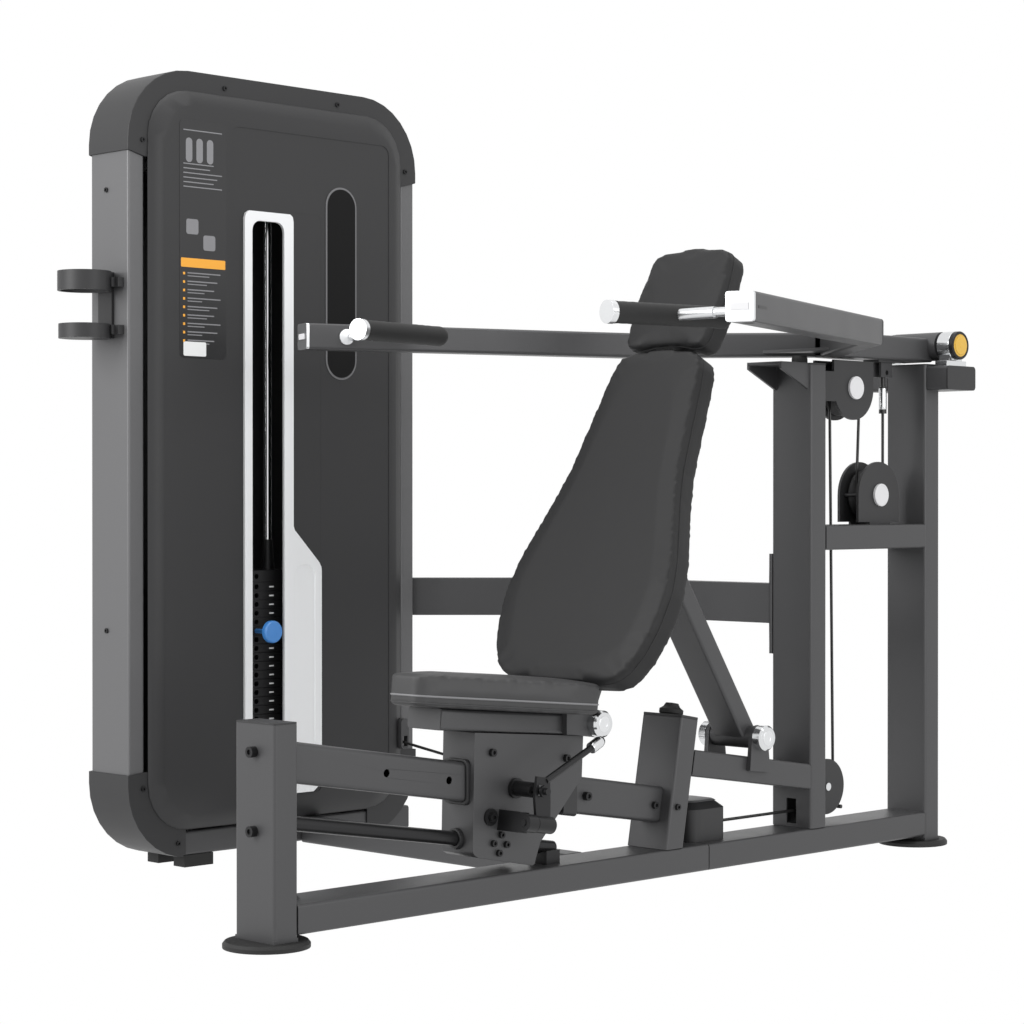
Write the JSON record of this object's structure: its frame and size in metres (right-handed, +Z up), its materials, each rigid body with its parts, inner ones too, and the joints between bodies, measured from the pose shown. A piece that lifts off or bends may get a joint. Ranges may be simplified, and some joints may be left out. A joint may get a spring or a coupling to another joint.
{
  "type": "lever press machine",
  "caption": "Selectorised overhead lever press machine with a weight tower, an inclined rail, a sliding seat and a backrest linked to the seat's position.",
  "frame": {"origin": "centre of the machine's bounding box on the floor", "axes": "+X towards the user's left, away from the weight tower; +Y towards the rear post, behind the user; +Z up"},
  "size_m": [1.4998, 1.9108, 1.571],
  "materials": {
    "frame_paint": "fine-textured powder coat",
    "tower_paint": "fine-textured powder coat",
    "black_plastic": "fine-grained moulded plastic",
    "rubber": "matte moulded rubber",
    "bright_metal": "polished",
    "aluminium": "satin",
    "yellow_plastic": "moulded",
    "black_steel": "black oxide",
    "cable_jacket": "smooth jacket",
    "plate_iron": "painted black",
    "blue_plastic": "moulded knob on a steel pin",
    "cushion": "soft grained artificial leather over foam"
  },
  "bodies": {
    "frame": {"front_post": "frame_paint", "base_rail": "frame_paint", "base_rail_rear": "frame_paint", "main_post": "frame_paint", "rear_post": "frame_paint", "base_crossbar": "frame_paint", "tower_brace": "frame_paint", "rail_post": "frame_paint", "strut_beam": "frame_paint", "pulley_shelf": "frame_paint", "bearing_crossbar": "frame_paint", "seat_rail": "frame_paint", "guide_rod": "black_steel", "feet": "rubber", "post_caps": "black_plastic", "rubber_bumpers": "rubber", "base_pulley_cover": "black_plastic", "pillow_blocks": "bright_metal", "bearing_covers": "yellow_plastic", "pulley_guards": "black_plastic", "pivot_caps": "bright_metal", "frame_bolts": "black_steel", "cable": "cable_jacket", "tower_columns": "tower_paint", "tower_top_cap": "black_plastic", "tower_bottom_cap": "black_plastic", "tower_front_panel": "black_plastic", "tower_rear_panel": "black_plastic", "slot_trim": "aluminium", "tower_base": "frame_paint", "stack_guide_rods": "bright_metal", "resting_plates": "plate_iron", "cup_holder": "black_plastic", "arm_cable": "cable_jacket", "stack_cable": "cable_jacket"},
    "carriage": {"carriage_box": "frame_paint", "carriage_bushings": "black_plastic", "carriage_bolts": "black_steel", "seat_frame": "frame_paint", "seat_pad": "cushion", "lock_pin_housing": "black_steel"},
    "backrest": {"backrest_frame": "frame_paint", "back_pad": "cushion", "head_pad": "cushion", "backrest_pivot_pin": "bright_metal"},
    "strut": {"backrest_strut": "frame_paint"},
    "press_arm": {"press_arm": "frame_paint", "arm_end_caps": "aluminium", "hand_grips": "rubber", "grip_fittings": "aluminium"},
    "lifted_stack": {"lifted_plates": "plate_iron"},
    "lever": {"release_lever": "black_steel"},
    "lock_pin": {"lock_pin": "black_steel"},
    "selector_pin": {"selector_pin": "blue_plastic"},
    "upper_pulley": {"upper_pulley": "black_plastic"},
    "lower_pulley": {"lower_pulley": "black_plastic"},
    "base_pulley": {"base_pulley": "black_plastic"},
    "corner_pulley": {"corner_pulley": "black_plastic"},
    "tower_pulley_rear": {"tower_pulley_rear": "black_plastic"},
    "tower_pulley_front": {"tower_pulley_front": "black_plastic"}
  },
  "joints": [
    {"name": "press_arm_swing", "type": "hinge", "parent": "frame", "child": "press_arm", "pos_m": [0.18008, 0.9015, 1.048], "axis": [-1, 0, 0], "range_deg": [0, 42], "deforming": ["arm_cable"]},
    {"name": "stack_lift", "type": "slide", "parent": "frame", "child": "lifted_stack", "axis": [0, 0, 1], "range_m": [0, 0.103], "deforming": ["stack_cable"]},
    {"name": "upper_pulley_spin", "type": "hinge", "parent": "frame", "child": "upper_pulley", "pos_m": [0.18008, 0.6425, 0.9538], "axis": [1, 0, 0], "range_deg": [-180, 180]},
    {"name": "lower_pulley_spin", "type": "hinge", "parent": "frame", "child": "lower_pulley", "pos_m": [0.18008, 0.7265, 0.7354], "axis": [1, 0, 0], "range_deg": [-180, 180]},
    {"name": "base_pulley_spin", "type": "hinge", "parent": "frame", "child": "base_pulley", "pos_m": [0.18008, 0.5625, 0.146], "axis": [1, 0, 0], "range_deg": [-180, 180]},
    {"name": "corner_pulley_spin", "type": "hinge", "parent": "frame", "child": "corner_pulley", "pos_m": [0.14608, 0.1965, 0.104], "axis": [0, 0, 1], "range_deg": [-180, 180]},
    {"name": "tower_pulley_rear_spin", "type": "hinge", "parent": "frame", "child": "tower_pulley_rear", "pos_m": [-0.68092, 0.0765, 1.47], "axis": [1, 0, 0], "range_deg": [-180, 180]},
    {"name": "tower_pulley_front_spin", "type": "hinge", "parent": "frame", "child": "tower_pulley_front", "pos_m": [-0.68092, -0.1965, 1.47], "axis": [1, 0, 0], "range_deg": [-180, 180]},
    {"name": "seat_slide", "type": "slide", "parent": "frame", "child": "carriage", "axis": [0, 0.9871, -0.1599], "range_m": [-0.294, 0]},
    {"name": "backrest_tilt", "type": "hinge", "parent": "carriage", "child": "backrest", "pos_m": [0.18008, -0.1585, 0.321], "axis": [1, 0, 0], "range_deg": [-36.8, 0]},
    {"name": "strut_swing", "type": "hinge", "parent": "frame", "child": "strut", "pos_m": [0.18008, 0.299, 0.2653], "axis": [1, 0, 0], "range_deg": [0, 24.3]},
    {"name": "lever_pull", "type": "hinge", "parent": "carriage", "child": "lever", "pos_m": [0.28308, -0.3885, 0.166], "axis": [0, 0.9871, -0.1599], "range_deg": [0, 12], "stiffness_Nm_per_rad": 3, "springref_deg": -8.59},
    {"name": "lock_pin_pull", "type": "slide", "parent": "carriage", "child": "lock_pin", "axis": [1, 0, 0], "range_m": [0, 0.0126]},
    {"name": "selector_pin_pull", "type": "slide", "parent": "lifted_stack", "child": "selector_pin", "axis": [1, 0, 0], "range_m": [0, 0.1]}
  ],
  "couplings": [
    {"joint": "stack_lift", "follows": "press_arm_swing", "m_per_rad": 0.139},
    {"joint": "lower_pulley_spin", "follows": "press_arm_swing", "ratio": 3.0889},
    {"joint": "upper_pulley_spin", "follows": "press_arm_swing", "ratio": -2.78},
    {"joint": "base_pulley_spin", "follows": "press_arm_swing", "ratio": 3.3095},
    {"joint": "corner_pulley_spin", "follows": "press_arm_swing", "ratio": 4.0882},
    {"joint": "tower_pulley_rear_spin", "follows": "press_arm_swing", "ratio": -3.0889},
    {"joint": "tower_pulley_front_spin", "follows": "press_arm_swing", "ratio": -3.0889},
    {"joint": "backrest_tilt", "follows": "seat_slide", "rad_per_m": 2.1816},
    {"joint": "strut_swing", "follows": "seat_slide", "rad_per_m": -1.4407},
    {"joint": "lock_pin_pull", "follows": "lever_pull", "m_per_rad": 0.0578}
  ]
}
